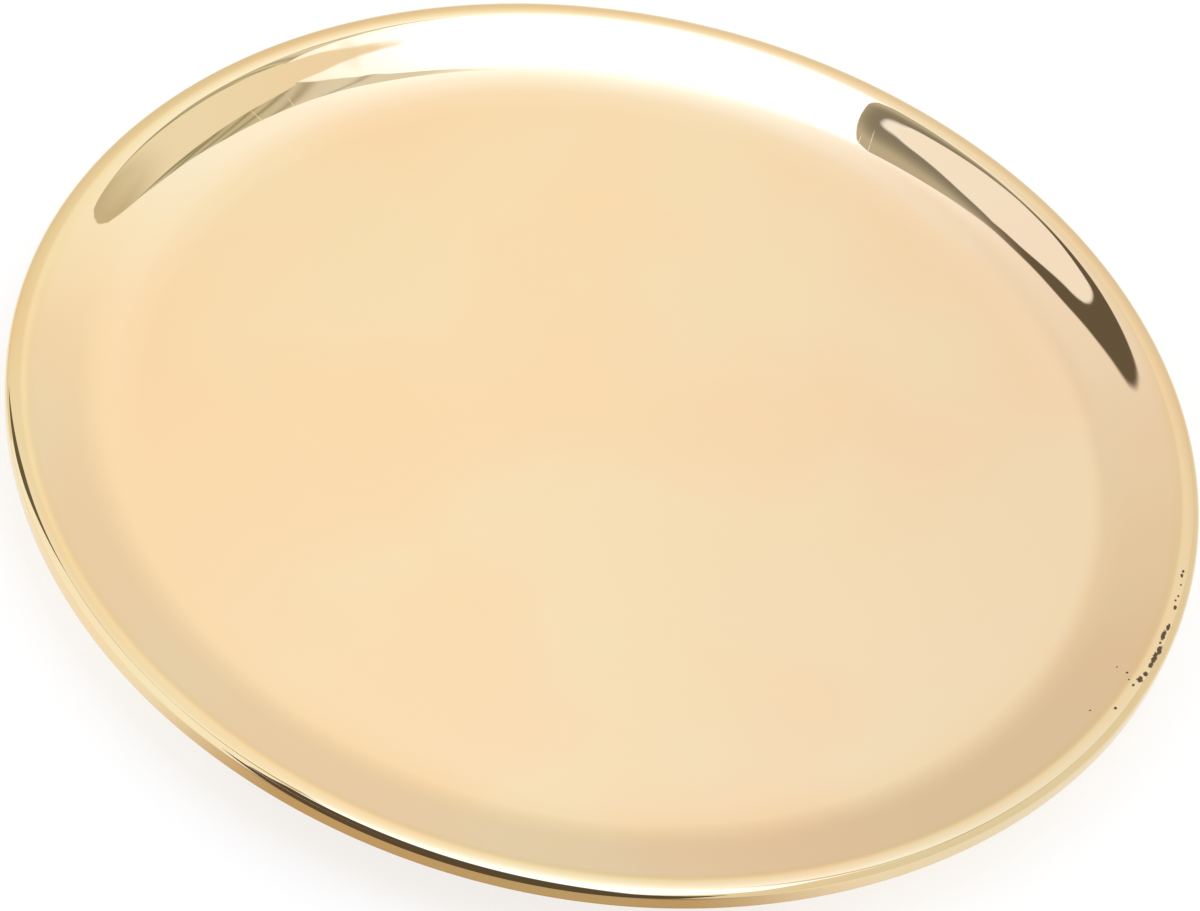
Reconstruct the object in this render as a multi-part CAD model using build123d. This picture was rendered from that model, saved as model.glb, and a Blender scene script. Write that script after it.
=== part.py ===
from build123d import *
import math
import os

# Candle plate: a turned brass dish that stands on self-adhesive felt pads.
# Millimetres and degrees. The Z axis is the axis of the dish, and z = 0 is the surface it stands on.

# Brass dish. Its inner face is a chain of arcs that run smoothly into each other, from the floor outwards
plate_radius = 60.0          # at the widest point of the lip
floor_thickness = 2.6
floor_ease_radius = 46.0     # the floor begins to rise on this very gentle arc
floor_ease_angle = 3.5       # slope at the end of that arc
cove_radius = 10.3           # the cove turns the floor up into the wall
cove_angle = 24.6            # slope at the end of the cove
wall_hollow_radius = 104.0   # the wall is nearly straight, first slightly hollow
wall_angle = 26.7            # steepest slope, in the middle of the wall
wall_crown_radius = 56.0     # then slightly crowned
shoulder_angle = 25.2        # slope where the wall meets the lip
lip_inner_radius = 1.7       # inner side of the lip, up to its crest
lip_top_radius = 2.85        # the lip falls gently from its crest
lip_top_angle = 25.0         # slope at the end of that fall
lip_edge_radius = 0.6        # rounds the lip into its upright outer face
lip_face_height = 1.05       # the short upright face
lip_under_radius = 0.5       # rounds that face into the outer wall
outer_wall_angle = 26.0      # the outer wall runs nearly parallel to the inner wall
foot_round_radius = 12.0     # rounds the outer wall into the flat underside

# Felt pads
pad_count = 4
pad_radius = 6.0
pad_thickness = 1.5
adhesive_thickness = 0.15
adhesive_inset = 0.25        # the adhesive stops short of the felt's edge
pad_edge_margin = 4.0        # from the pads to the edge of the flat underside
first_pad_angle = 45.0

base_z = pad_thickness + adhesive_thickness
floor_z = base_z + floor_thickness


def sine(angle):
    return math.sin(math.radians(angle))


def arc_width(radius, start_angle, end_angle):
    """How far outwards an arc reaches between two slopes."""
    return radius * abs(sine(end_angle) - sine(start_angle))


def floor_radius():
    """Radius at which the flat floor ends, so that the wall and lip around it end at plate_radius."""
    rim_width = (arc_width(floor_ease_radius, 0, floor_ease_angle)
                 + arc_width(cove_radius, floor_ease_angle, cove_angle)
                 + arc_width(wall_hollow_radius, cove_angle, wall_angle)
                 + arc_width(wall_crown_radius, wall_angle, shoulder_angle)
                 + arc_width(lip_inner_radius, shoulder_angle, 0)
                 + arc_width(lip_top_radius, 0, lip_top_angle)
                 + arc_width(lip_edge_radius, lip_top_angle, 90))
    return plate_radius - rim_width


def onward_arc(edge, radius, turn):
    """Arc that goes on smoothly from the end of an edge: a positive turn bends upwards."""
    return JernArc(start=edge @ 1, tangent=edge % 1, radius=radius, arc_size=turn)


def dish_edges():
    """Edges of the half section, from the axis along the floor, over the lip and back under the dish."""
    floor = Line((0, floor_z), (floor_radius(), floor_z))
    floor_ease = onward_arc(floor, floor_ease_radius, floor_ease_angle)
    cove = onward_arc(floor_ease, cove_radius, cove_angle - floor_ease_angle)
    wall_hollow = onward_arc(cove, wall_hollow_radius, wall_angle - cove_angle)
    wall_crown = onward_arc(wall_hollow, wall_crown_radius, shoulder_angle - wall_angle)
    lip_inner = onward_arc(wall_crown, lip_inner_radius, -shoulder_angle)
    lip_top = onward_arc(lip_inner, lip_top_radius, -lip_top_angle)
    lip_edge = onward_arc(lip_top, lip_edge_radius, lip_top_angle - 90)
    lip_face = Line(lip_edge @ 1, lip_edge @ 1 + (lip_edge % 1) * lip_face_height)
    lip_under = onward_arc(lip_face, lip_under_radius, outer_wall_angle - 90)
    foot_rise = foot_round_radius * (1 - math.cos(math.radians(outer_wall_angle)))
    wall_length = ((lip_under @ 1).Y - base_z - foot_rise) / sine(outer_wall_angle)
    outer_wall = Line(lip_under @ 1, lip_under @ 1 + (lip_under % 1) * wall_length)
    foot_round = onward_arc(outer_wall, foot_round_radius, -outer_wall_angle)
    underside = Line(foot_round @ 1, (0, base_z))
    axis = Line((0, base_z), (0, floor_z))
    return [floor, floor_ease, cove, wall_hollow, wall_crown, lip_inner, lip_top, lip_edge, lip_face,
            lip_under, outer_wall, foot_round, underside, axis]


def brass_dish():
    section = make_face(Wire(dish_edges()))
    return revolve(Plane.XZ * section, axis=Axis.Z)


def underside_radius():
    """Radius of the flat underside, inside its rounded edge."""
    underside = dish_edges()[-2]
    return underside.length


def pad_places():
    """Centres of the felt pads, evenly spaced on a circle near the edge of the flat underside."""
    ring_radius = underside_radius() - pad_edge_margin - pad_radius
    step = 360 / pad_count
    return [Vector(ring_radius, 0).rotate(Axis.Z, first_pad_angle + step * index) for index in range(pad_count)]


def disc(radius, bottom, thickness, place):
    """Upright round disc with its bottom face at a height and its axis through a place."""
    flat_disc = Cylinder(radius, thickness, align=(Align.CENTER, Align.CENTER, Align.MIN))
    return Location((place.X, place.Y, bottom)) * flat_disc


def main():
    os.makedirs("parts", exist_ok=True)
    nodes = {"brass_dish": brass_dish()}
    for number, place in enumerate(pad_places(), start=1):
        nodes[f"felt_pad_{number}"] = disc(pad_radius, 0, pad_thickness, place)
        nodes[f"pad_adhesive_{number}"] = disc(pad_radius - adhesive_inset, pad_thickness, adhesive_thickness, place)
    for name, solid in nodes.items():
        export_step(solid, f"parts/{name}.step")


if __name__ == "__main__":
    main()
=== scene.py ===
import logging
import math
from collections.abc import Callable
from dataclasses import dataclass
from enum import Enum

import bmesh
import bpy
from bmesh.types import BMesh
from bpy.types import Material, Object
from mathutils import Matrix, Vector, noise


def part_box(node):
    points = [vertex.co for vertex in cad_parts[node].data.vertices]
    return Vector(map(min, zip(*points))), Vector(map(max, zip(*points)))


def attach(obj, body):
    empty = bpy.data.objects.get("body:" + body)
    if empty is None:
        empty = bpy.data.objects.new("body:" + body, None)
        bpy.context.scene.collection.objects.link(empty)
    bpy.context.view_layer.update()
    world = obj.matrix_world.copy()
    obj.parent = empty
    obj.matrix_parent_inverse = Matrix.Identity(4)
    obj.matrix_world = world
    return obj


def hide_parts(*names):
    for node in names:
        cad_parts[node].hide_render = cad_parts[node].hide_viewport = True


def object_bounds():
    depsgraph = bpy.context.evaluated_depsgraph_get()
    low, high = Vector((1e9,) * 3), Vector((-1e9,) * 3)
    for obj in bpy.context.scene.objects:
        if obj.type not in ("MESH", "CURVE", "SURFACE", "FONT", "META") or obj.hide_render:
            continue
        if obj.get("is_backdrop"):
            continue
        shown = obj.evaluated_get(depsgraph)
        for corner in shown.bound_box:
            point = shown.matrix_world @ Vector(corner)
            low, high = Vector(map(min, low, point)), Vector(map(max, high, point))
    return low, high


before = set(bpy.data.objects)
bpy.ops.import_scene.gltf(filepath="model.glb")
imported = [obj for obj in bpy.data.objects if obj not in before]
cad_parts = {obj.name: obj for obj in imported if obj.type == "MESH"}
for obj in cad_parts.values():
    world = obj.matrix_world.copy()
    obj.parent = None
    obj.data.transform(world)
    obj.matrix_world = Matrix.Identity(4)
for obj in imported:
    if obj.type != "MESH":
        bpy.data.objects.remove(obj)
LOG = logging.getLogger("candle_plate")
MM = 0.001
WELD = 0.001 * MM
PAD_COUNT = 4
Colour = tuple[float, float, float, float]
Span = tuple[float, float]
Waves = tuple[float, ...]
WHITE: Colour = (1.0, 1.0, 1.0, 1.0)
NEAR_ROOF = ((90, 2.4), (115, 2.4), (130, 1.7), (145, 1.05), (180, 0.95))


class Slot(Enum):
    """Names of the record's material slots."""

    BRASS = "polished_brass"
    FELT = "felt"
    ADHESIVE = "adhesive"


class Side(Enum):
    """Which finish of the dish a face gets."""

    POLISHED = 0
    TURNED = 1


class Signal:
    """Output of a shader node that takes part in Python arithmetic."""

    def __init__(self, bench: "NodeBench", socket: bpy.types.NodeSocket) -> None:
        """Keeps the output socket and the bench of its node tree."""
        self.bench = bench
        self.socket = socket

    def output(self, name: str) -> "Signal":
        """Another output of the same node, by name."""
        return Signal(self.bench, self.socket.node.outputs[name])

    def __add__(self, other: "Signal | float") -> "Signal":
        """Sum with a signal or a number."""
        return self.bench.math("ADD", self, other)

    def __radd__(self, other: float) -> "Signal":
        """Sum with a number on the left."""
        return self.bench.math("ADD", other, self)

    def __sub__(self, other: "Signal | float") -> "Signal":
        """Difference with a signal or a number."""
        return self.bench.math("SUBTRACT", self, other)

    def __rsub__(self, other: float) -> "Signal":
        """A number less this signal."""
        return self.bench.math("SUBTRACT", other, self)

    def __mul__(self, other: "Signal | float") -> "Signal":
        """Product with a signal or a number."""
        return self.bench.math("MULTIPLY", self, other)

    def __rmul__(self, other: float) -> "Signal":
        """Product with a number on the left."""
        return self.bench.math("MULTIPLY", other, self)

    def __truediv__(self, other: "Signal | float") -> "Signal":
        """Quotient with a signal or a number."""
        return self.bench.math("DIVIDE", self, other)

    def __pow__(self, other: float) -> "Signal":
        """Power of this signal."""
        return self.bench.math("POWER", self, other)


class NodeBench:
    """Adds nodes to one node tree and links them."""

    def __init__(self, tree: bpy.types.NodeTree) -> None:
        """Clears the node tree of a material or of the world."""
        self.tree = tree
        tree.nodes.clear()

    def node(self, kind: str, settings: dict | None = None, inputs: dict | None = None,
             output: int | str = 0) -> Signal:
        """Adds a node.

        Args:
            kind: the node's type.
            settings: its attributes, and its curve's points under the name points.
            inputs: numbers, colours or signals by the name or number of the socket.
            output: the output that the returned signal stands for.

        Returns:
            The signal of that output.
        """
        made = self.tree.nodes.new(kind)
        for name, value in (settings or {}).items():
            if name == "points":
                self.set_points(made.mapping, value)
            else:
                setattr(made, name, value)
        for name, value in (inputs or {}).items():
            if isinstance(value, Signal):
                self.tree.links.new(value.socket, made.inputs[name])
            else:
                made.inputs[name].default_value = value
        return Signal(self, made.outputs[output] if len(made.outputs) else None)

    @staticmethod
    def set_points(mapping: bpy.types.CurveMapping, points: list) -> None:
        """Leads a curve smoothly through points.

        Args:
            mapping: the node's curve, which has two points when it is new.
            points: pairs of a value and what it becomes, in order.
        """
        curve = mapping.curves[0]
        for place, height in points[1:-1]:
            curve.points.new(place, height)
        for point, location in zip(curve.points, points):
            point.location = location
            point.handle_type = "AUTO"
        mapping.update()

    def math(self, operation: str, first: Signal | float, second: Signal | float = 0.0) -> Signal:
        """Result of a math operation on one or two values."""
        return self.node("ShaderNodeMath", {"operation": operation}, {0: first, 1: second})

    def clamp(self, value: Signal, low: float, high: float) -> Signal:
        """A value kept between two numbers."""
        return self.math("MINIMUM", self.math("MAXIMUM", value, low), high)

    def length(self, x: Signal, y: Signal) -> Signal:
        """Length of a level vector."""
        return self.math("SQRT", x * x + y * y)

    def step(self, value: Signal, low: float, high: float) -> Signal:
        """Smooth step of a value: 0 at low and 1 at high."""
        return self.node("ShaderNodeMapRange", {"interpolation_type": "SMOOTHSTEP"},
                         {"Value": value, "From Min": low, "From Max": high})

    def blend(self, share: Signal | float, first: Signal | tuple, second: Signal | tuple) -> Signal:
        """Mix of two colours: a share of 0 gives the first and 1 the second."""
        return self.node("ShaderNodeMix", {"data_type": "RGBA"}, {0: share, 6: first, 7: second}, 2)

    def tint(self, share: Signal | float, colour: Signal, by: Signal | tuple) -> Signal:
        """A colour multiplied by another: not at all at a share of 0 and fully at 1."""
        return self.node("ShaderNodeMix", {"data_type": "RGBA", "blend_type": "MULTIPLY"},
                         {0: share, 6: colour, 7: by}, 2)

    def scale(self, colour: Signal | tuple, strength: Signal) -> Signal:
        """A colour made brighter or darker by a factor."""
        value = colour if isinstance(colour, Signal) else colour[:3]
        return self.node("ShaderNodeVectorMath", {"operation": "SCALE"}, {0: value, "Scale": strength})

    def noise(self, vector: Signal, scale: float, detail: float = 2.0, roughness: float = 0.5) -> Signal:
        """Noise from 0 to 1, mostly near a half, with its scale in waves per metre."""
        return self.node("ShaderNodeTexNoise", None,
                         {"Vector": vector, "Scale": scale, "Detail": detail, "Roughness": roughness})

    def place(self) -> Signal:
        """Object coordinates, in metres."""
        return self.node("ShaderNodeTexCoord", output="Object")

    def split(self, vector: Signal) -> tuple[Signal, Signal, Signal]:
        """The three parts of a vector."""
        parts = self.node("ShaderNodeSeparateXYZ", None, {0: vector})
        return parts, parts.output("Y"), parts.output("Z")

    def principled(self, inputs: dict) -> None:
        """Makes a principled shader with these inputs the material's surface."""
        self.surface(self.node("ShaderNodeBsdfPrincipled", None, inputs))

    def surface(self, shader: Signal, target: str = "ShaderNodeOutputMaterial") -> None:
        """Links a shader to an output node of the target's type."""
        self.node(target, None, {"Surface": shader})


def new_material(name: str) -> tuple[Material, NodeBench]:
    """Makes an empty material.

    Args:
        name: its name.

    Returns:
        The material and the bench for its nodes.
    """
    material = bpy.data.materials.new(name)
    material.use_nodes = True
    return material, NodeBench(material.node_tree)


@dataclass(frozen=True)
class Pit:
    """Dark pore in the lip: its angle in degrees, and its radius and half sizes in millimetres."""

    angle: float
    radius: float
    length: float
    width: float


@dataclass(frozen=True)
class Scratch:
    """Faint scratch outwards: its angle and lean in degrees, its ends and half width in millimetres."""

    angle: float
    lean: float
    start: float
    end: float
    width: float = 0.05


@dataclass(frozen=True)
class PolishedBrass:
    """Brass polished to a mirror, with soft warm patches, a yellower lip, scratches and casting pores, and
    painted shade that tints its right half a little darker and cooler.
    """

    rosy_colour: Colour = (0.910, 0.700, 0.445, 1.0)
    golden_colour: Colour = (0.888, 0.733, 0.478, 1.0)
    lip_tint: Colour = (0.97, 0.97, 0.88, 1.0)
    # Painted shade: tint that makes the right half of the dish a little darker and cooler.
    right_lighting_tint: Colour = (0.925, 0.91, 0.95, 1.0)
    pore_colour: Colour = (0.11, 0.06, 0.025, 1.0)
    roughness: float = 0.008
    pore_dullness: float = 0.6
    pore_metal_loss: float = 0.85
    scratch_dullness: float = 0.35
    patch_span: Span = (0.38, 0.62)
    right_painted_shade_span: Span = (-0.02, 0.05)
    lip_span: Span = (56.9, 58.3)
    ragged_noise: Waves = (2600.0, 3.0, 0.7)
    patch_noise: Waves = (34.0, 2.5, 0.45)
    raggedness: float = 3.2
    pore_span: Span = (1.25, 0.6)
    scratch_start: Span = (0.0, 0.3)
    scratch_end: Span = (1.0, 0.6)
    scratch_gaps: Span = (-0.25, 0.1)
    pits: tuple[Pit, ...] = (
        Pit(356.5, 58.84, 0.20, 0.14), Pit(355.9, 58.78, 0.24, 0.14), Pit(354.7, 58.90, 0.12, 0.10),
        Pit(353.2, 58.93, 0.14, 0.10), Pit(352.5, 58.78, 0.14, 0.10), Pit(351.6, 58.96, 0.28, 0.16),
        Pit(348.9, 58.98, 0.45, 0.18), Pit(347.7, 58.86, 0.66, 0.22), Pit(346.6, 58.87, 0.16, 0.12),
        Pit(345.7, 59.10, 0.56, 0.24), Pit(344.6, 59.02, 0.86, 0.24), Pit(343.5, 59.05, 0.40, 0.22),
        Pit(342.2, 59.05, 0.30, 0.24), Pit(341.2, 58.87, 0.40, 0.30), Pit(340.2, 58.60, 0.20, 0.14),
        Pit(341.5, 57.39, 0.15, 0.12), Pit(342.1, 56.20, 0.10, 0.09), Pit(340.6, 57.95, 0.10, 0.09),
        Pit(336.5, 58.55, 0.20, 0.14), Pit(335.2, 56.60, 0.12, 0.10))
    scratches: tuple[Scratch, ...] = (
        Scratch(66.6, 1.6, 50.6, 55.4), Scratch(68.3, 0.8, 51.0, 54.2), Scratch(138.4, 0.5, 51.4, 54.6),
        Scratch(142.8, 1.2, 51.8, 55.0), Scratch(22.0, 2.0, 44.2, 45.8), Scratch(121.5, 1.0, 48.8, 50.2))

    def marks(self, bench: NodeBench, radius: Signal, along: Signal, ragged: Signal) -> tuple[Signal, Signal]:
        """Where the casting pores and the faint scratches are.

        Args:
            bench: the bench of the material.
            radius: distance from the axis, in millimetres.
            along: angle round the axis, in degrees from -180 to 180.
            ragged: noise that breaks up the pores' outlines and thins the scratches here and there.

        Returns:
            Two masks: 1 inside the pores, and 1 on the scratches.
        """
        pores = 0.0 * radius
        for pit in self.pits:
            across = (radius - pit.radius) / pit.width
            around = (along - (pit.angle - 360.0)) * (math.pi / 180.0 * pit.radius / pit.length)
            inside = bench.step(across * across + around * around + ragged * self.raggedness, *self.pore_span)
            pores = bench.math("MAXIMUM", pores, inside)
        scratches = 0.0 * radius
        for scratch in self.scratches:
            outwards = (radius - scratch.start) / (scratch.end - scratch.start)
            offset = (along - scratch.angle - outwards * scratch.lean) * (math.pi / 180.0 * scratch.start)
            line = bench.step(bench.math("ABSOLUTE", offset), scratch.width, scratch.width * 0.3)
            stretch = bench.step(outwards, *self.scratch_start) * bench.step(outwards, *self.scratch_end)
            scratches = bench.math("MAXIMUM", scratches, line * stretch)
        return pores, scratches * bench.step(ragged, *self.scratch_gaps)

    def material(self) -> Material:
        """Builds the finish.

        Returns:
            The material.
        """
        material, bench = new_material("polished_brass")
        place = bench.place()
        x, y, _ = bench.split(place)
        radius = bench.length(x, y) / MM
        along = bench.math("ARCTAN2", y, x) * (180.0 / math.pi)
        ragged = bench.noise(place, *self.ragged_noise) - 0.5
        pores, scratches = self.marks(bench, radius, along, ragged)
        patches = bench.step(bench.noise(place, *self.patch_noise), *self.patch_span)
        metal = bench.blend(patches, self.rosy_colour, self.golden_colour)
        # Painted shade: the right half of the dish is tinted a little darker and cooler.
        metal = bench.tint(bench.step(x, *self.right_painted_shade_span), metal, self.right_lighting_tint)
        metal = bench.tint(bench.step(radius, *self.lip_span), metal, self.lip_tint)
        dent = bench.node("ShaderNodeBump", {"invert": True},
                          {"Strength": 0.6, "Distance": 0.0002, "Height": pores})
        bench.principled({
            "Base Color": bench.blend(pores, metal, self.pore_colour),
            "Metallic": 1.0 - pores * self.pore_metal_loss,
            "Roughness": self.roughness + pores * self.pore_dullness + scratches * self.scratch_dullness,
            "Normal": dent})
        return material


@dataclass(frozen=True)
class TurnedBrass:
    """Underside as it leaves the lathe: fine rings, duller than the polished top."""

    colour: Colour = (0.84, 0.64, 0.36, 1.0)
    dull_colour: Colour = (0.62, 0.45, 0.23, 1.0)
    stain_noise: Waves = (40.0, 4.0, 0.6)
    stain_span: Span = (0.45, 0.75)
    stain_share: float = 0.6
    roughness: float = 0.24
    ring_dullness: float = 0.1
    stain_dullness: float = 0.12

    def material(self) -> Material:
        """Builds the finish.

        Returns:
            The material.
        """
        material, bench = new_material("turned_brass")
        place = bench.place()
        x, y, _ = bench.split(place)
        radius = bench.length(x, y)
        rings = bench.node("ShaderNodeTexNoise", {"noise_dimensions": "1D"},
                           {"W": radius, "Scale": 2200.0, "Detail": 3.0, "Roughness": 0.6})
        stain = bench.step(bench.noise(place, *self.stain_noise), *self.stain_span)
        bump = bench.node("ShaderNodeBump", None, {"Strength": 0.25, "Distance": 0.0001, "Height": rings})
        bench.principled({
            "Base Color": bench.blend(stain * self.stain_share, self.colour, self.dull_colour),
            "Metallic": 1.0,
            "Roughness": self.roughness + rings * self.ring_dullness + stain * self.stain_dullness,
            "Normal": bump})
        return material


@dataclass(frozen=True)
class PressedFelt:
    """Dark brown pressed wool felt."""

    colour: Colour = (0.06, 0.045, 0.035, 1.0)
    pale_colour: Colour = (0.15, 0.12, 0.10, 1.0)
    fibre_span: Span = (0.5, 0.68)

    def material(self) -> Material:
        """Builds the finish.

        Returns:
            The material.
        """
        material, bench = new_material("pressed_felt")
        place = bench.place()
        swirl = bench.node("ShaderNodeTexNoise", None, {
            "Vector": place, "Scale": 900.0, "Detail": 6.0, "Roughness": 0.7, "Distortion": 3.0})
        fibres = bench.step(swirl, *self.fibre_span)
        bump = bench.node("ShaderNodeBump", None, {"Strength": 0.9, "Distance": 0.0002, "Height": swirl})
        bench.principled({
            "Base Color": bench.blend(fibres, self.colour, self.pale_colour),
            "Roughness": 0.95,
            "Sheen Weight": 0.4,
            "Sheen Roughness": 0.6,
            "Normal": bump})
        return material


@dataclass(frozen=True)
class AdhesiveFilm:
    """Thin cream-coloured adhesive film."""

    colour: Colour = (0.75, 0.70, 0.60, 1.0)
    aged_colour: Colour = (0.66, 0.56, 0.40, 1.0)
    age_noise: Waves = (300.0, 3.0)
    age_span: Span = (0.4, 0.7)
    roughness: float = 0.4
    aged_dullness: float = 0.2

    def material(self) -> Material:
        """Builds the finish.

        Returns:
            The material.
        """
        material, bench = new_material("adhesive_film")
        place = bench.place()
        aged = bench.step(bench.noise(place, *self.age_noise), *self.age_span)
        bump = bench.node("ShaderNodeBump", None,
                          {"Strength": 0.2, "Distance": 0.0001, "Height": bench.noise(place, 1500.0)})
        bench.principled({
            "Base Color": bench.blend(aged, self.colour, self.aged_colour),
            "Roughness": self.roughness + aged * self.aged_dullness,
            "Normal": bump})
        return material


def placed_object(name: str, mesh: BMesh, materials: list[Material]) -> Object:
    """Makes an object of a mesh and puts it in the scene.

    Args:
        name: the object's name.
        mesh: its shape in place, in metres. It is freed here.
        materials: its materials, in the order of the faces' numbers.

    Returns:
        The object, which sits at the origin.
    """
    data = bpy.data.meshes.new(name)
    mesh.to_mesh(data)
    mesh.free()
    for material in materials:
        data.materials.append(material)
    placed = bpy.data.objects.new(name, data)
    bpy.context.scene.collection.objects.link(placed)
    return placed


def finished_piece(name: str, mesh: BMesh, materials: list[Material],
                   stands_for: str) -> Object:
    """Makes a smooth piece of a mesh and hands it to the frame.

    Args:
        name: the piece's name.
        mesh: its shape in place, in metres. It is freed here.
        materials: its materials, in the order of the faces' numbers.
        stands_for: the CAD node that it replaces.

    Returns:
        The object, which sits at the origin.
    """
    bmesh.ops.recalc_face_normals(mesh, faces=mesh.faces)
    piece = placed_object(name, mesh, materials)
    piece.data.polygons.foreach_set("use_smooth", [True] * len(piece.data.polygons))
    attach(piece, "root")
    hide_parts(stands_for)
    return piece


class SectionLine:
    """Half section of a turned piece, drawn outwards from the axis as a chain of straight runs and arcs."""

    def __init__(self, mesh: BMesh, height: float) -> None:
        """Starts on the axis.

        Args:
            mesh: the mesh to draw in.
            height: height of the first point, in metres.
        """
        self.mesh = mesh
        self.heading = 0.0
        self.tip = bmesh.ops.create_vert(mesh, co=(0.0, 0.0, height))["vert"][0]

    def run(self, length: float, parts: int = 1) -> None:
        """Goes straight on.

        Args:
            length: length of the run, in metres.
            parts: number of edges.
        """
        ahead = Vector((math.cos(self.heading), 0.0, math.sin(self.heading))) * (length / parts)
        for _ in range(parts):
            place = self.tip.co + ahead
            grown = bmesh.ops.extrude_vert_indiv(self.mesh, verts=[self.tip])
            self.tip = grown["verts"][0]
            self.tip.co = place

    def follow(self, slope: Callable[[float], float], end: float, stride: float) -> None:
        """Goes on outwards in short runs along a slope that changes smoothly.

        Args:
            slope: slope in degrees at a distance from the axis in metres.
            end: distance from the axis at which the last run ends, in metres.
            stride: greatest width of a run, in metres.
        """
        start = self.tip.co.x
        parts = math.ceil((end - start) / stride)
        width = (end - start) / parts
        for part in range(parts):
            self.heading = math.radians(slope(start + (part + 0.5) * width))
            self.run(width / math.cos(self.heading))
        self.heading = math.radians(slope(end))

    def arc(self, radius: float, turn: float, parts: int) -> None:
        """Goes on along an arc.

        Args:
            radius: its radius, in metres.
            turn: how far it turns, in degrees, upwards if positive.
            parts: number of edges.
        """
        angle = math.radians(turn)
        upwards = Vector((-math.sin(self.heading), 0.0, math.cos(self.heading)))
        centre = self.tip.co + upwards * math.copysign(radius, turn)
        swept = bmesh.ops.spin(self.mesh, geom=[self.tip], cent=centre, axis=(0.0, -1.0, 0.0), angle=angle,
                               steps=parts, use_duplicate=False)
        self.tip = swept["geom_last"][0]
        self.heading += angle

    def disc(self, radius: float, thickness: float, edge: float, parts: tuple[int, int, int]) -> None:
        """Draws a flat disc with rounded edges, from the axis and back to it.

        Args:
            radius: its radius, in metres.
            thickness: its thickness, in metres.
            edge: radius of its rounded edges, in metres.
            parts: number of edges across each face, round each rounded edge and down the side.
        """
        across, rounding, side = parts
        self.run(radius - edge, across)
        self.arc(edge, -90.0, rounding)
        self.run(thickness - 2.0 * edge, side)
        self.arc(edge, -90.0, rounding)
        self.run(self.tip.co.x, across)

    def turn(self, segments: int) -> None:
        """Turns the finished half section once round the axis.

        Args:
            segments: number of faces round the axis.
        """
        bmesh.ops.spin(self.mesh, geom=self.mesh.verts[:] + self.mesh.edges[:], cent=(0.0, 0.0, 0.0),
                       axis=(0.0, 0.0, 1.0), angle=2.0 * math.pi, steps=segments, use_merge=True,
                       use_duplicate=False)
        bmesh.ops.remove_doubles(self.mesh, verts=self.mesh.verts, dist=WELD)


def soft_minimum(first: float, second: float, width: float) -> float:
    """Smaller of two numbers, rounded off where they are less than a width apart."""
    share = min(1.0, max(0.0, 0.5 + 0.5 * (second - first) / width))
    return second + (first - second) * share - width * share * (1.0 - share)


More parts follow.
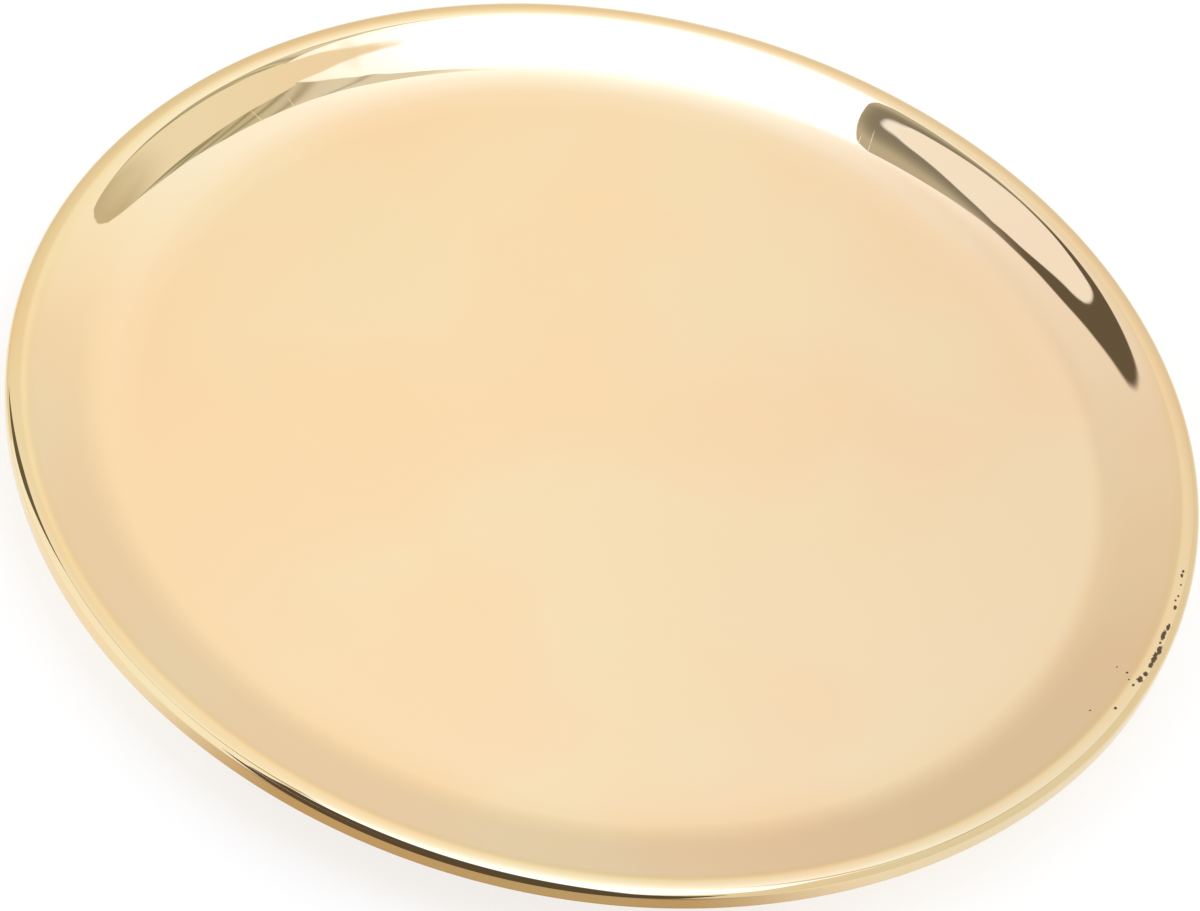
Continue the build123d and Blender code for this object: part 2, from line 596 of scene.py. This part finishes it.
@dataclass
class BrassDish:
    """The turned brass dish: its sizes in millimetres and degrees, its mesh and its two finishes."""

    radius: float = 60.0
    underside_height: float = 1.65
    floor_thickness: float = 2.6
    floor_ease: tuple[float, float] = (46.0, 3.5)
    floor_end: float = 46.432
    cove_radius: float = 10.3
    wall_radius: float = 56.4
    wall_angle: float = 25.7
    wall_hollow: tuple[float, float] = (0.093, 2.2)
    wall_crown: tuple[float, float] = (0.38, 4.0)
    cove_blend: float = 2.0
    lip_blend: float = 0.6
    lip_inner_radius: float = 1.7
    lip_top: tuple[float, float] = (2.85, 25.0)
    lip_edge_radius: float = 0.6
    lip_face_height: float = 1.05
    lip_under_radius: float = 0.5
    outer_wall_angle: float = 26.0
    foot_round_radius: float = 12.0
    stride: float = 0.12
    segments: int = 512
    waviness: float = 0.0005
    wave_scale: float = 70.0
    wave_layer: float = 3.0
    near_settling: float = 0.021
    near_focus: int = 4
    turned_below: float = -0.05
    finishes: tuple[PolishedBrass, TurnedBrass] = (PolishedBrass(), TurnedBrass())

    def crest_radius(self) -> float:
        """Distance of the lip's crest from the axis."""
        top_sine = math.sin(math.radians(self.lip_top[1]))
        return self.radius - self.lip_top[0] * top_sine - self.lip_edge_radius * (1.0 - top_sine)

    def inner_slope(self, place: float) -> float:
        """Slope of the inner face from the floor's easing to the crest, as one smooth run.

        Args:
            place: distance from the axis, in metres.

        Returns:
            The slope, in degrees.
        """
        radius = place / MM
        ease_sine = math.sin(math.radians(self.floor_ease[1]))
        ease_end = self.floor_end + self.floor_ease[0] * ease_sine
        cove = math.degrees(math.asin(min(0.9, ease_sine + (radius - ease_end) / self.cove_radius)))
        factor, power = self.wall_hollow if radius < self.wall_radius else self.wall_crown
        wall = self.wall_angle - factor * abs(radius - self.wall_radius) ** power
        lip_sine = (self.crest_radius() - radius) / self.lip_inner_radius
        lip = math.degrees(math.asin(min(0.9, max(0.0, lip_sine))))
        return soft_minimum(soft_minimum(cove, wall, self.cove_blend), lip, self.lip_blend)

    def section(self, mesh: BMesh) -> SectionLine:
        """Draws the half section.

        Args:
            mesh: the mesh to draw in.

        Returns:
            The line, back on the axis.
        """
        line = SectionLine(mesh, (self.underside_height + self.floor_thickness) * MM)
        line.run(self.floor_end * MM, parts=24)
        line.arc(self.floor_ease[0] * MM, self.floor_ease[1], parts=8)
        line.follow(self.inner_slope, self.crest_radius() * MM, self.stride * MM)
        line.heading = 0.0
        line.arc(self.lip_top[0] * MM, -self.lip_top[1], parts=16)
        line.arc(self.lip_edge_radius * MM, self.lip_top[1] - 90.0, parts=20)
        line.run(self.lip_face_height * MM, parts=4)
        line.arc(self.lip_under_radius * MM, self.outer_wall_angle - 90.0, parts=14)
        foot_rise = self.foot_round_radius * (1.0 - math.cos(math.radians(self.outer_wall_angle)))
        drop = line.tip.co.z / MM - self.underside_height - foot_rise
        line.run(drop / math.sin(math.radians(self.outer_wall_angle)) * MM, parts=8)
        line.arc(self.foot_round_radius * MM, -self.outer_wall_angle, parts=16)
        line.run(line.tip.co.x, parts=8)
        return line

    def wave(self, mesh: BMesh) -> None:
        """Leaves the wall a little lower at the near side, and the surface very slightly uneven.

        Args:
            mesh: the closed dish.
        """
        floor_height = (self.underside_height + self.floor_thickness) * MM
        for vertex in mesh.verts:
            spot = vertex.co * self.wave_scale
            rise = max(0.0, vertex.co.z - floor_height)
            nearness = (0.5 - 0.5 * vertex.co.y / max(vertex.co.xy.length, MM)) ** self.near_focus
            uneven = self.waviness * MM * noise.noise(Vector((spot.x, spot.y, self.wave_layer)))
            vertex.co.z += uneven - rise * nearness * self.near_settling

    def build(self) -> Object:
        """Turns the section round the axis and dresses it.

        Returns:
            The dish.
        """
        mesh = bmesh.new()
        self.section(mesh).turn(self.segments)
        self.wave(mesh)
        bmesh.ops.recalc_face_normals(mesh, faces=mesh.faces)
        for face in mesh.faces:
            side = Side.TURNED if face.normal.z < self.turned_below else Side.POLISHED
            face.material_index = side.value
        return finished_piece("dish", mesh, [finish.material() for finish in self.finishes],
                              "brass_dish")


@dataclass
class FeltPad:
    """One round felt pad: a pressed disc with a soft edge and a slightly hairy surface."""

    number: int
    radius: float = 6.0
    thickness: float = 1.5
    edge_round: float = 0.35
    nap: float = 0.05
    segments: int = 96
    tufts: float = 2600.0
    tuft_layers: tuple[float, float, int] = (1.0, 2.0, 3)
    shift: float = 7.0

    def build(self, material: Material) -> Object:
        """Builds the pad where its CAD node is.

        Args:
            material: the felt finish, shared by all pads.

        Returns:
            The pad.
        """
        node = f"felt_pad_{self.number}"
        low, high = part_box(node)
        centre = (low + high) / 2.0
        mesh = bmesh.new()
        line = SectionLine(mesh, high.z)
        line.disc(self.radius * MM, self.thickness * MM, self.edge_round * MM, parts=(20, 5, 4))
        line.turn(self.segments)
        bmesh.ops.recalc_face_normals(mesh, faces=mesh.faces)
        mesh.normal_update()
        for vertex in mesh.verts:
            spot = vertex.co * self.tufts + Vector((self.number * self.shift, 0.0, 0.0))
            tuft = noise.fractal(spot, *self.tuft_layers)
            vertex.co -= vertex.normal * (self.nap * MM * (0.5 + 0.5 * max(-1.0, min(1.0, tuft))))
        bmesh.ops.translate(mesh, verts=mesh.verts, vec=(centre.x, centre.y, 0.0))
        pad = finished_piece(f"{node}_nap", mesh, [material], node)
        return pad


@dataclass
class AdhesiveDisc:
    """The thin adhesive disc between one felt pad and the brass."""

    number: int
    edge_round: float = 0.05
    segments: int = 96

    def build(self, material: Material) -> Object:
        """Builds the disc where its CAD node is.

        Args:
            material: the adhesive finish, shared by all discs.

        Returns:
            The disc.
        """
        node = f"pad_adhesive_{self.number}"
        low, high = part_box(node)
        centre = (low + high) / 2.0
        mesh = bmesh.new()
        line = SectionLine(mesh, high.z)
        line.disc((high.x - low.x) / 2.0, high.z - low.z, self.edge_round * MM, parts=(6, 4, 1))
        line.turn(self.segments)
        bmesh.ops.translate(mesh, verts=mesh.verts, vec=(centre.x, centre.y, 0.0))
        return finished_piece(f"{node}_film", mesh, [material], node)


class TentView:
    """What the tent is painted by: a ray's direction, and where the ray crosses a level plane overhead."""

    low_limit: float = 0.05
    horizon_softness: float = 0.03
    sharp: float = 0.0015
    soft: float = 0.003

    def __init__(self, bench: NodeBench) -> None:
        """Works out the place overhead in units of the plane's height.

        Args:
            bench: the bench of the world.
        """
        self.bench = bench
        self.direction = bench.node("ShaderNodeTexCoord", output="Generated")
        self.x, self.y, self.z = bench.split(self.direction)
        rise = bench.math("MAXIMUM", self.z, self.low_limit)
        self.right = self.x / rise
        self.away = self.y / rise
        tilt = bench.math("ARCTAN2", self.z, self.y) * (180.0 / math.pi)
        self.tilt = tilt + bench.math("LESS_THAN", tilt, -90.0) * 360.0

    def nearer(self, edge: Signal, softness: float) -> Signal:
        """Mask that is 1 on the near side of an edge. Its softness is half the width of the fade."""
        return self.bench.step(edge - self.away, -softness, softness)


@dataclass(frozen=True)
class Profile:
    """Smooth line through a few points, as pairs of a value and what it becomes."""

    points: tuple[tuple[float, float], ...]

    def read(self, bench: NodeBench, value: Signal) -> Signal:
        """Reads the line.

        Args:
            bench: the bench of the node tree.
            value: the signal to read it at.

        Returns:
            What the value becomes.
        """
        starts, heights = zip(*self.points)
        left, low = min(starts), min(heights)
        width, rise = max(starts) - left, max(heights) - low
        line = bench.node("ShaderNodeFloatCurve",
                          {"points": [((start - left) / width, (height - low) / rise)
                                      for start, height in self.points]},
                          {"Value": (value - left) / width})
        return line * rise + low


@dataclass(frozen=True)
class Straight:
    """Straight end that cuts off an edge: a point on it and its slope."""

    place: float
    height: float
    slope: float

    def cut(self, edge: Signal, value: Signal) -> Signal:
        """The edge where it is lower than the straight, and the straight elsewhere."""
        return edge.bench.math("MINIMUM", edge, self.height + (value - self.place) * self.slope)


@dataclass(frozen=True)
class Seam:
    """Straight edge of the light tent, by two points overhead and a third on its inner side."""

    start: tuple[float, float]
    end: tuple[float, float]
    inside: tuple[float, float]
    softness: float = 0.8

    def mask(self, view: TentView) -> Signal:
        """1 on the inner side of the edge.

        Args:
            view: the tent's view.

        Returns:
            The mask.
        """
        normal = Vector((*self.start, 1.0)).cross(Vector((*self.end, 1.0))).normalized()
        if normal.dot(Vector((*self.inside, 1.0))) < 0.0:
            normal = -normal
        distance = view.bench.node("ShaderNodeVectorMath", {"operation": "DOT_PRODUCT"},
                                   {0: view.direction, 1: tuple(normal)}, "Value")
        half = math.sin(math.radians(self.softness / 2.0))
        return view.bench.step(distance, -half, half)


@dataclass(frozen=True)
class Fold:
    """Dark fold in the pale cloth beside the right opening: its place, slant, half width and depth."""

    place: float
    slant: float
    width: float
    depth: float


@dataclass(frozen=True)
class RoofGlow:
    """Brightness of the tent's cloth by a ray's lean: 0 level and away, 90 straight up, 180 to the camera.

    Both sides share the part from the top to the camera.
    """

    right: Profile = Profile(((0, 0.83), (32, 0.93), (51, 1.10), (63, 1.28), (73, 1.55), (81, 1.92),
                              *NEAR_ROOF))
    left: Profile = Profile(((0, 0.76), (20, 0.78), (32, 0.82), (51, 0.92), (63, 1.02), (73, 1.10),
                             (81, 1.30), (85, 1.7), *NEAR_ROOF))
    right_lighting_tint: Colour = (1.05, 1.0, 0.93, 1.0)
    left_tint: Colour = (1.10, 1.0, 0.88, 1.0)
    side_span: Span = (-0.28, 0.05)
    far_right_span: Span = (0.3, 0.6)
    far_right_depth: Span = (0.1, 0.25)
    far_right_from: float = 1.15
    far_right_loss: float = 0.4
    tint_end: Span = (40.0, 62.0)
    near_tint_end: Span = (150.0, 125.0)
    red_fall: float = -0.55
    green_fall: float = -0.38

    def light(self, view: TentView) -> Signal:
        """The cloth's light.

        Args:
            view: the tent's view.

        Returns:
            The colour.
        """
        bench = view.bench
        tilt = bench.clamp(view.tilt, 0.0, 180.0)
        side = bench.step(view.x, *self.side_span)
        right = self.right.read(bench, tilt)
        far_right = (bench.step(view.right, *self.far_right_span)
                     * bench.step(view.away, *self.far_right_depth))
        above = bench.math("MAXIMUM", right - self.far_right_from, 0.0)
        right = right - self.far_right_loss * far_right * above
        left = self.left.read(bench, tilt)
        overhead = bench.step(tilt, *self.tint_end) * bench.step(tilt, *self.near_tint_end)
        tint = bench.blend(overhead, bench.blend(side, self.left_tint, self.right_lighting_tint), WHITE)
        strength = left + (right - left) * side
        excess = bench.math("MAXIMUM", strength, 1.0)
        lamp = bench.node("ShaderNodeCombineColor", None, {
            "Red": strength * excess ** self.red_fall,
            "Green": strength * excess ** self.green_fall,
            "Blue": strength})
        return bench.tint(1.0, lamp, tint)


@dataclass(frozen=True)
class LeftOpening:
    """Dark gap of the tent at the left, around a cream panel with a corner."""

    outer: Profile = Profile(((-0.80, 0.80), (-0.73, 0.628), (-0.654, 0.4735), (-0.574, 0.352),
                              (-0.496, 0.25), (-0.415, 0.167), (-0.34, 0.123), (-0.18, 0.105)))
    panel_far: Profile = Profile(((-0.75, 0.565), (-0.615, 0.382), (-0.562, 0.3067), (-0.501, 0.235),
                                  (-0.453, 0.183), (-0.40, 0.137), (-0.20, -0.02)))
    panel_near: Profile = Profile(((-0.52, 0.272), (-0.453, 0.183), (-0.403, 0.127), (-0.351, 0.0765),
                                   (-0.2967, 0.0345), (-0.2558, 0.0065), (-0.245, -0.006)))
    outer_end: Straight = Straight(-0.74, 0.648, -0.64)
    panel_far_end: Straight = Straight(-0.625, 0.40, -0.35)
    panel_end: Seam = Seam((-0.265, 0.0), (-1.0, -0.88), (-1.0, 0.0), 0.6)
    right_end: Span = (-0.235, -0.237)
    low_end: Span = (0.48, 0.53)
    deep_span: Span = (-0.42, -0.53)
    grey_level: float = 0.27
    grey_gain: float = 0.30
    grey_width: float = 0.035
    deep_colour: Colour = (0.15, 0.13, 0.10, 1.0)
    grey_tint: Colour = (1.0, 1.0, 0.9, 1.0)
    panel_colour: Colour = (1.07, 1.13, 1.22, 1.0)

    def over(self, light: Signal, view: TentView) -> Signal:
        """Lays the gap and the panel over the cloth.

        Args:
            light: the cloth's light.
            view: the tent's view.

        Returns:
            The light with both.
        """
        bench = view.bench
        outer = self.outer_end.cut(self.outer.read(bench, view.right), view.right)
        panel_far = self.panel_far_end.cut(self.panel_far.read(bench, view.right), view.right)
        inner = bench.math("MINIMUM", panel_far, self.panel_near.read(bench, view.right))
        panel = view.nearer(inner, view.sharp)
        paler = bench.step(view.away - inner, 0.0, self.grey_width)
        grey_part = bench.scale(self.grey_tint, self.grey_level + self.grey_gain * paler)
        gap_light = bench.blend(bench.step(view.right, *self.deep_span), grey_part, self.deep_colour)
        gap = (view.nearer(outer, view.soft) * (1.0 - panel) * bench.step(view.z, *self.low_end)
               * bench.step(view.right, *self.right_end))
        light = bench.blend(gap, light, gap_light)
        return bench.blend(panel * self.panel_end.mask(view), light, self.panel_colour)


@dataclass(frozen=True)
class RightOpening:
    """Pale folded cloth and a gold-grey panel at the right."""

    outer: Profile = Profile(((0.10, 0.20), (0.214, 0.214), (0.326, 0.232), (0.425, 0.255), (0.519, 0.335),
                              (0.6275, 0.483), (0.727, 0.681), (0.802, 0.868), (0.846, 1.004), (1.0, 1.40)))
    panel_far: Profile = Profile(((0.48, 0.18), (0.532, 0.264), (0.604, 0.388), (0.647, 0.4755),
                                  (0.69, 0.5725), (0.734, 0.684), (0.778, 0.803), (0.85, 0.99)))
    roof_edge: Profile = Profile(((0.10, 0.22), (0.166, 0.205), (0.226, 0.18), (0.309, 0.152),
                                  (0.383, 0.1546), (0.447, 0.19), (0.509, 0.24), (0.56, 0.29)))
    panel_tip: Profile = Profile(((0.36, 0.073), (0.399, 0.108), (0.4206, 0.1282), (0.463, 0.1726),
                                  (0.511, 0.233), (0.533, 0.2633), (0.58, 0.33)))
    corner: float = 0.533
    least_depth: float = 0.01
    tip_softness: float = 0.001
    left_end: Span = (0.15, 0.33)
    right_end: Span = (0.79, 0.76)
    dull_span: Span = (0.46, 0.60)
    shade: float = 0.75
    shade_span: Span = (0.60, 0.68)
    shade_depth: Span = (0.6, 0.2)
    panel_start: Span = (0.38, 0.39)
    lit_depth: Span = (0.0, 0.10)
    lit_end: Span = (0.80, 0.70)
    folds: tuple[Fold, ...] = (Fold(0.430, 0.030, 0.010, 0.45), Fold(0.515, 0.025, 0.012, 0.5),
                               Fold(0.548, 0.070, 0.010, 0.6), Fold(0.590, 0.070, 0.010, 0.65),
                               Fold(0.635, 0.070, 0.012, 0.8))
    cloth_colour: Colour = (0.80, 0.85, 0.86, 1.0)
    dull_colour: Colour = (0.62, 0.62, 0.52, 1.0)
    fold_colour: Colour = (0.27, 0.24, 0.15, 1.0)
    panel_colour: Colour = (0.94, 0.91, 0.82, 1.0)
    panel_dark: Colour = (0.62, 0.56, 0.43, 1.0)

    def over(self, light: Signal, view: TentView) -> Signal:
        """Lays the folded cloth and the panel over the tent's cloth.

        Args:
            light: the cloth's light.
            view: the tent's view.

        Returns:
            The light with both.
        """
        bench, right = view.bench, view.right
        outer = self.outer.read(bench, right)
        panel_far = self.panel_far.read(bench, right)
        beyond = bench.math("GREATER_THAN", right, self.corner)
        roof_edge = self.roof_edge.read(bench, right)
        inner = roof_edge + (panel_far - roof_edge) * beyond
        depth = bench.math("MAXIMUM", outer - inner, self.least_depth)
        across = bench.clamp((view.away - inner) / depth, 0.0, 1.0)
        inside = view.nearer(outer, view.soft)
        cloth = (inside * (1.0 - view.nearer(inner, view.sharp)) * bench.step(right, *self.left_end)
                 * bench.step(right, *self.right_end))
        dark = self.shade * bench.step(right, *self.shade_span) * bench.step(across, *self.shade_depth)
        for fold in self.folds:
            offset = (right - fold.slant * across - fold.place) / fold.width
            dark = bench.math("MAXIMUM", dark, fold.depth * bench.math("EXPONENT", 0.0 - offset * offset))
        flat_light = bench.blend(bench.step(right, *self.dull_span), self.cloth_colour, self.dull_colour)
        light = bench.blend(cloth, light, bench.blend(dark, flat_light, self.fold_colour))
        tip = self.panel_tip.read(bench, right)
        panel_edge = tip + (panel_far - tip) * beyond
        panel = view.nearer(panel_edge, self.tip_softness) * inside * bench.step(right, *self.panel_start)
        lit = bench.math("MAXIMUM", bench.step(outer - view.away, *self.lit_depth),
                         bench.step(right, *self.lit_end))
        return bench.blend(panel, light, bench.blend(lit, self.panel_dark, self.panel_colour))


@dataclass(frozen=True)
class CameraSide:
    """Near side of the tent: a pale panel at the right and a dark opening from the camera upwards."""

    panel_corner: Seam = Seam((0.44, 0.20), (0.58, -0.14), (1.0, 0.0), 2.0)
    panel_edge: Seam = Seam((0.58, -0.14), (1.14, -1.52), (1.0, -0.5), 4.0)
    panel_colour: Colour = (0.90, 0.90, 0.82, 1.0)
    opening_left: Seam = Seam((-0.30, -0.02), (-1.0, -0.9), (0.0, -1.0), 1.0)
    opening_right: Seam = Seam((0.09, -0.2), (0.46, -1.03), (-1.0, -1.0), 4.0)
    opening_top: Seam = Seam((-0.28, -0.04), (0.09, -0.2), (0.0, -1.0), 2.0)
    opening_colour: Colour = (0.11, 0.09, 0.07, 1.0)
    opening_low_end: Span = (0.67, 0.71)
    corner_depth: Span = (0.19, 0.15)
    panel_depth: Span = (0.0, -0.05)

    def over(self, light: Signal, view: TentView) -> Signal:
        """Lays the panel and the opening over the cloth.

        Args:
            light: the cloth's light.
            view: the tent's view.

        Returns:
            The light with both.
        """
        bench = view.bench
        edge = self.panel_edge.mask(view)
        corner = (bench.math("MINIMUM", self.panel_corner.mask(view), edge)
                  * bench.step(view.away, *self.corner_depth))
        panel = bench.math("MAXIMUM", corner, edge * bench.step(view.y, *self.panel_depth))
        light = bench.blend(panel, light, self.panel_colour)
        opening = (self.opening_left.mask(view) * self.opening_right.mask(view) * self.opening_top.mask(view)
                   * bench.step(view.z, *self.opening_low_end))
        return bench.blend(opening, light, self.opening_colour)


@dataclass
class LightTent:
    """White light tent with a bright roof, an opening at each side and one from the camera upwards."""

    glow: RoofGlow = RoofGlow()
    openings: tuple = (LeftOpening(), RightOpening(), CameraSide())
    table_colour: Colour = (0.82, 0.76, 0.68, 1.0)

    def world(self) -> None:
        """Paints the tent on the world, by direction. The camera sees plain white instead."""
        world = bpy.data.worlds.new("light_tent")
        bpy.context.scene.world = world
        world.use_nodes = True
        bench = NodeBench(world.node_tree)
        view = TentView(bench)
        light = self.glow.light(view)
        for opening in self.openings:
            light = opening.over(light, view)
        light = bench.blend(bench.step(view.z, 0.0, -view.horizon_softness), light, self.table_colour)
        tent = bench.node("ShaderNodeBackground", None, {"Color": light, "Strength": 1.0})
        plain = bench.node("ShaderNodeBackground", None, {"Color": WHITE, "Strength": 1.0})
        seen = bench.node("ShaderNodeLightPath", output="Is Camera Ray")
        mixed = bench.node("ShaderNodeMixShader", None, {0: seen, 1: tent, 2: plain})
        bench.surface(mixed, "ShaderNodeOutputWorld")


@dataclass
class StudioTable:
    """Pale round table top under the plate, darker in front of it for mirror images alone."""

    radius: float = 3.0
    colour: Colour = (0.86, 0.85, 0.83, 1.0)
    lift: float = 0.6
    glow: float = 1.2
    open_radius: float = 0.052
    near_shade: Colour = (0.60, 0.47, 0.31, 1.0)
    far_shade: Colour = (0.24, 0.18, 0.11, 1.0)
    shade_left: Span = (-44.0, -22.0)
    shade_right: Span = (38.0, 16.0)
    shade_depth: Span = (0.063, 0.085)

    def shade(self, bench: NodeBench, x: Signal, y: Signal, mirrored: Signal) -> Signal:
        """Darker stretch of the table in front of the plate.

        Args:
            bench: the bench of the material.
            x: place to the right, in metres.
            y: place away from the camera, in metres.
            mirrored: 1 where the table is seen in the brass.

        Returns:
            What the table's white is multiplied by.
        """
        across = bench.math("ARCTAN2", x, 0.0 - y) * (180.0 / math.pi)
        share = mirrored * bench.step(across, *self.shade_left) * bench.step(across, *self.shade_right)
        far = bench.step(bench.length(x, y), *self.shade_depth)
        return bench.blend(share, WHITE, bench.blend(far, self.near_shade, self.far_shade))

    def material(self) -> Material:
        """Plain pale paper. The camera looks through it from below, and light reaches the plate's underside.

        Returns:
            The material.
        """
        material, bench = new_material("table_paper")
        camera_ray = bench.node("ShaderNodeLightPath", output="Is Camera Ray")
        mirrored = camera_ray.output("Is Glossy Ray")
        seen = bench.math("MAXIMUM", camera_ray, mirrored)
        x, y, _ = bench.split(bench.place())
        shade = self.shade(bench, x, y, mirrored)
        paper = bench.node("ShaderNodeBsdfDiffuse", None, {"Color": bench.tint(1.0, shade, self.colour)})
        white = bench.node("ShaderNodeEmission", None, {"Color": shade, "Strength": self.glow})
        lit = bench.node("ShaderNodeMixShader", None, {0: seen * self.lift, 1: paper, 2: white})
        inside = bench.math("LESS_THAN", bench.length(x, y), self.open_radius)
        below = bench.node("ShaderNodeNewGeometry", output="Backfacing") * camera_ray
        clear = bench.math("MAXIMUM", below, inside * (1.0 - camera_ray))
        nothing = bench.node("ShaderNodeBsdfTransparent")
        bench.surface(bench.node("ShaderNodeMixShader", None, {0: clear, 1: lit, 2: nothing}))
        return material

    def build(self) -> Object:
        """Lays the table under the plate.

        Returns:
            The table.
        """
        mesh = bmesh.new()
        bmesh.ops.create_circle(mesh, cap_ends=True, segments=64, radius=self.radius)
        table = placed_object("table", mesh, [self.material()])
        table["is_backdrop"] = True
        return table


@dataclass
class DarkSill:
    """Low dark card just in front of the plate, seen in mirror images alone, mostly in the near lip."""

    radius: float = 0.0622
    height: float = 0.0044
    lift: float = 0.0052
    start: float = 241.0
    sweep: float = 50.0
    steps: int = 24
    end_rise: float = 0.98
    colour: Colour = (0.11, 0.09, 0.07, 1.0)

    def build(self) -> Object:
        """Stands the card up. Its lower edge rises towards both ends.

        Returns:
            The card.
        """
        material, bench = new_material("dark_card")
        bench.surface(bench.node("ShaderNodeEmission", None, {"Color": self.colour, "Strength": 1.0}))
        mesh = bmesh.new()
        angle = math.radians(self.start)
        foot = Vector((math.cos(angle) * self.radius, math.sin(angle) * self.radius, self.lift))
        low = bmesh.ops.create_vert(mesh, co=foot)["vert"]
        bmesh.ops.extrude_vert_indiv(mesh, verts=low)["verts"][0].co = foot + Vector((0.0, 0.0, self.height))
        bmesh.ops.spin(mesh, geom=mesh.verts[:] + mesh.edges[:], cent=(0.0, 0.0, 0.0), axis=(0.0, 0.0, 1.0),
                       angle=math.radians(self.sweep), steps=self.steps, use_duplicate=False)
        for vertex in mesh.verts:
            angle = math.degrees(math.atan2(vertex.co.y, vertex.co.x)) % 360.0
            if vertex.co.z < self.lift + self.height / 2.0:
                from_middle = 2.0 * (angle - self.start) / self.sweep - 1.0
                vertex.co.z += self.end_rise * self.height * from_middle ** 4
        card = placed_object("dark_sill", mesh, [material])
        card.visible_camera = card.visible_diffuse = card.visible_shadow = False
        card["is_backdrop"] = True
        return card


@dataclass
class StudioCamera:
    """Camera above and in front of the plate, a little turned about its own line of sight."""

    distance: float = 480.0
    elevation: float = 46.2
    roll: float = 13.16
    lens: float = 144.408
    sensor: float = 36.0
    clip_start: float = 0.01
    pivot_height: float = 6.294
    aim: tuple[float, float] = (-0.114, -5.028)

    def build(self) -> Object:
        """Places the camera.

        Returns:
            The camera, which the scene then uses.
        """
        rise = math.radians(self.elevation)
        place = Vector((0.0, -math.cos(rise) * self.distance,
                        self.pivot_height + math.sin(rise) * self.distance)) * MM
        target = Vector((*self.aim, self.pivot_height)) * MM
        ahead = (target - place).normalized()
        right = ahead.cross(Vector((0.0, 0.0, 1.0))).normalized()
        up = right.cross(ahead)
        turn = math.radians(self.roll)
        frame_x = right * math.cos(turn) + up * math.sin(turn)
        frame_y = up * math.cos(turn) - right * math.sin(turn)
        data = bpy.data.cameras.new("studio_camera")
        data.lens = self.lens
        data.sensor_width = self.sensor
        data.clip_start = self.clip_start
        camera = bpy.data.objects.new("studio_camera", data)
        turned = Matrix((frame_x, frame_y, -ahead)).transposed().to_4x4()
        camera.matrix_world = Matrix.Translation(place) @ turned
        bpy.context.scene.collection.objects.link(camera)
        bpy.context.scene.camera = camera
        return camera


def corners() -> list[list[float]]:
    """The object's lowest and highest corner as plain numbers."""
    return [[float(value) for value in corner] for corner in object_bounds()]


def main() -> None:
    """Builds the plate and its studio, piece by piece."""
    logging.basicConfig(level=logging.INFO, format="%(name)s: %(message)s")
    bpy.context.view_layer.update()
    StudioCamera().build()
    bpy.context.scene.view_settings.view_transform = "Standard"
    LightTent().world()
    StudioTable().build()
    DarkSill().build()
    LOG.info("studio ready")
    dish = BrassDish().build()
    LOG.info("%s: %d faces", dish.name, len(dish.data.polygons))
    felt = PressedFelt().material()
    film = AdhesiveFilm().material()
    for number in range(1, PAD_COUNT + 1):
        for piece in (FeltPad(number).build(felt), AdhesiveDisc(number).build(film)):
            LOG.info("%s: %d faces", piece.name, len(piece.data.polygons))
    LOG.info("box %s", corners())


if __name__ == "__main__":
    main()
